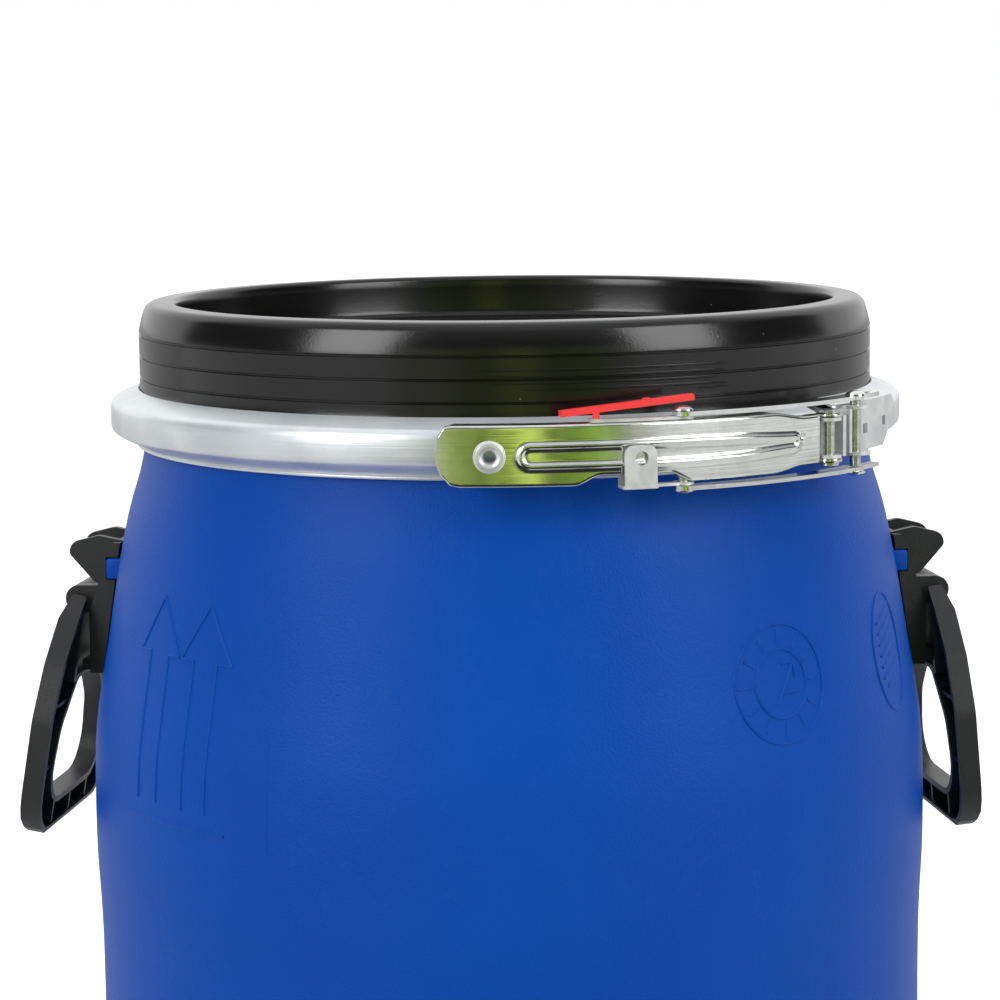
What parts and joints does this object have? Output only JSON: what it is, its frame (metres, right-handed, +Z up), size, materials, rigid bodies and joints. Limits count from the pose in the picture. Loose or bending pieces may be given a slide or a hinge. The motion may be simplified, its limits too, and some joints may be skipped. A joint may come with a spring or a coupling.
{
  "type": "open-head plastic drum",
  "caption": "Open-head plastic drum with a raised dished lid, a lever-lock steel clamp ring, a tamper seal and swing handles at the sides.",
  "frame": {"origin": "centre of the base, on the plane that the drum stands on", "axes": "+Z up, -Y towards the side with the lever, +X to the right as seen from that side"},
  "size_m": [0.462, 0.4002, 0.63],
  "materials": {
    "drum_plastic": "satin blue moulded polyethylene",
    "lid_plastic": "black moulded plastic with a soft shine",
    "gasket_rubber": "dark foamed rubber",
    "ring_zinc": "galvanised sheet steel",
    "bracket_zinc": "bright zinc plate",
    "lever_zinc": "smooth bright zinc plate",
    "pin_steel": "plated steel pin",
    "seal_plastic": "red moulded plastic",
    "handle_plastic": "black moulded plastic, fine grain"
  },
  "bodies": {
    "drum": {"drum_body": "drum_plastic", "handle_bracket_left": "handle_plastic", "handle_bracket_right": "handle_plastic"},
    "lid": {"lid": "lid_plastic", "lid_gasket": "gasket_rubber"},
    "ring_left": {"clamp_band": "ring_zinc", "hinge_bracket": "bracket_zinc", "lever_pin": "pin_steel"},
    "ring_right": {"draw_bracket": "bracket_zinc", "draw_pin": "pin_steel"},
    "lever": {"lever": "lever_zinc", "end_rivet": "bracket_zinc", "link_rivet_upper": "pin_steel", "link_rivet_lower": "pin_steel"},
    "link": {"link_upper": "lever_zinc", "link_lower": "lever_zinc"},
    "catch": {"safety_catch": "lever_zinc"},
    "seal": {"tamper_seal": "seal_plastic"},
    "handle_left": {"handle_left": "handle_plastic"},
    "handle_right": {"handle_right": "handle_plastic"}
  },
  "joints": [
    {"name": "lever_swing", "type": "hinge", "parent": "ring_left", "child": "lever", "pos_m": [0.14194, -0.13517, 0.5753], "axis": [0, 0, 1], "range_deg": [0, 110]},
    {"name": "link_turn", "type": "hinge", "parent": "lever", "child": "link", "pos_m": [0.07564, -0.17647, 0.5753], "axis": [0, 0, 1], "range_deg": [-58.9, 0]},
    {"name": "ring_spread", "type": "hinge", "parent": "ring_left", "child": "ring_right", "pos_m": [0, 0.1874, 0.5753], "axis": [0, 0, 1], "range_deg": [0, 10.7], "deforming": ["clamp_band"]},
    {"name": "lid_lift", "type": "slide", "parent": "drum", "child": "lid", "axis": [0, 0, 1], "range_m": [0, 0.08]},
    {"name": "ring_lift", "type": "slide", "parent": "drum", "child": "ring_left", "axis": [0, 0, 1], "range_m": [0, 0.12]},
    {"name": "catch_swing", "type": "hinge", "parent": "lever", "child": "catch", "pos_m": [0.07564, -0.17647, 0.5753], "axis": [0, 0, 1], "range_deg": [0, 3]},
    {"name": "seal_pull", "type": "slide", "parent": "catch", "child": "seal", "axis": [0, 0, 1], "range_m": [0, 0.02]},
    {"name": "handle_left_swing", "type": "hinge", "parent": "drum", "child": "handle_left", "pos_m": [-0.20598, 0.02895, 0.484], "axis": [0.1392, 0.9903, 0], "range_deg": [-5, 95]},
    {"name": "handle_right_swing", "type": "hinge", "parent": "drum", "child": "handle_right", "pos_m": [0.20598, 0.02895, 0.484], "axis": [0.1392, -0.9903, 0], "range_deg": [0, 100]}
  ],
  "couplings": [
    {"joint": "link_turn", "follows": "lever_swing", "ratio": -0.53477},
    {"joint": "ring_spread", "follows": "lever_swing", "ratio": 0.0967}
  ]
}
